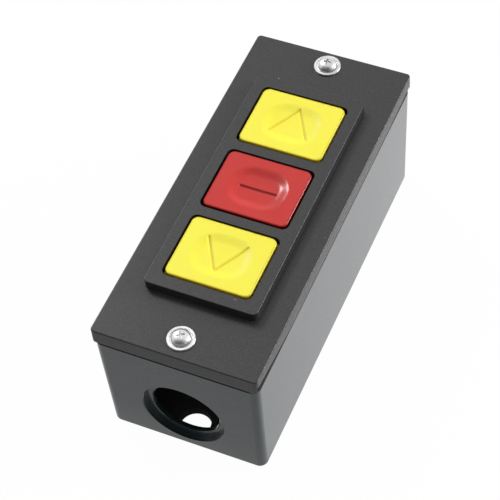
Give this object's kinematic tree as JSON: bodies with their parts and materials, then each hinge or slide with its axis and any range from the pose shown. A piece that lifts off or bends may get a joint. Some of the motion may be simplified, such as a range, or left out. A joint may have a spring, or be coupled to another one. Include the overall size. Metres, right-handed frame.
{
  "type": "roller door switch",
  "caption": "Surface-mounted control box with spring-return push buttons in a raised panel, a screw-terminal contact block inside and a round cable entry in an end wall.",
  "frame": {"origin": "middle of the back face, which lies on z = 0", "axes": "+Z out through the buttons, +Y from the cable entry towards the up button, +X to the right"},
  "size_m": [0.0496, 0.118, 0.0485],
  "materials": {
    "black_plastic": "fine matt moulding",
    "yellow_plastic": "satin moulding",
    "red_plastic": "satin moulding",
    "ivory_plastic": "plain moulding",
    "brown_phenolic": "pressed phenolic",
    "fibre_sheet": "punched sheet",
    "zinc_plate": "bright zinc plate",
    "spring_steel": "drawn wire",
    "brass": "punched strip",
    "silver": "headed rivet"
  },
  "bodies": {
    "case": {"base_box": "black_plastic", "cover": "black_plastic", "cover_screws": "zinc_plate", "up_return_spring": "spring_steel", "stop_return_spring": "spring_steel", "down_return_spring": "spring_steel", "contact_block": "brown_phenolic", "guide_plate": "fibre_sheet", "block_screws": "zinc_plate", "up_upper_contacts": "brass", "stop_upper_contacts": "brass", "down_upper_contacts": "brass", "up_lower_contacts": "brass", "stop_lower_contacts": "brass", "down_lower_contacts": "brass", "upper_contact_tips": "silver", "lower_contact_tips": "silver", "terminal_nuts": "brass", "terminal_clamps": "zinc_plate", "terminal_screws": "zinc_plate"},
    "up_push": {"up_button": "yellow_plastic", "up_plunger": "ivory_plastic", "up_contact_spring": "spring_steel"},
    "up_bridge": {"up_contact_bridge": "brass", "up_bridge_tips": "silver"},
    "stop_push": {"stop_button": "red_plastic", "stop_plunger": "ivory_plastic", "stop_contact_spring": "spring_steel"},
    "stop_bridge": {"stop_contact_bridge": "brass", "stop_bridge_tips": "silver"},
    "down_push": {"down_button": "yellow_plastic", "down_plunger": "ivory_plastic", "down_contact_spring": "spring_steel"},
    "down_bridge": {"down_contact_bridge": "brass", "down_bridge_tips": "silver"}
  },
  "joints": [
    {"name": "up_press", "type": "slide", "parent": "case", "child": "up_push", "axis": [0, 0, -1], "range_m": [0, 0.004], "stiffness_N_per_m": 800, "springref_m": -0.0025, "deforming": ["up_return_spring", "up_contact_spring"]},
    {"name": "up_bridge_drop", "type": "slide", "parent": "case", "child": "up_bridge", "axis": [0, 0, -1], "range_m": [0, 0.003]},
    {"name": "stop_press", "type": "slide", "parent": "case", "child": "stop_push", "axis": [0, 0, -1], "range_m": [0, 0.004], "stiffness_N_per_m": 800, "springref_m": -0.0025, "deforming": ["stop_return_spring", "stop_contact_spring"]},
    {"name": "stop_bridge_drop", "type": "slide", "parent": "case", "child": "stop_bridge", "axis": [0, 0, -1], "range_m": [0, 0.003]},
    {"name": "down_press", "type": "slide", "parent": "case", "child": "down_push", "axis": [0, 0, -1], "range_m": [0, 0.004], "stiffness_N_per_m": 800, "springref_m": -0.0025, "deforming": ["down_return_spring", "down_contact_spring"]},
    {"name": "down_bridge_drop", "type": "slide", "parent": "case", "child": "down_bridge", "axis": [0, 0, -1], "range_m": [0, 0.003]}
  ],
  "couplings": [
    {"joint": "up_bridge_drop", "follows": "up_press", "ratio": 0.75},
    {"joint": "stop_bridge_drop", "follows": "stop_press", "ratio": 0.75},
    {"joint": "down_bridge_drop", "follows": "down_press", "ratio": 0.75}
  ]
}
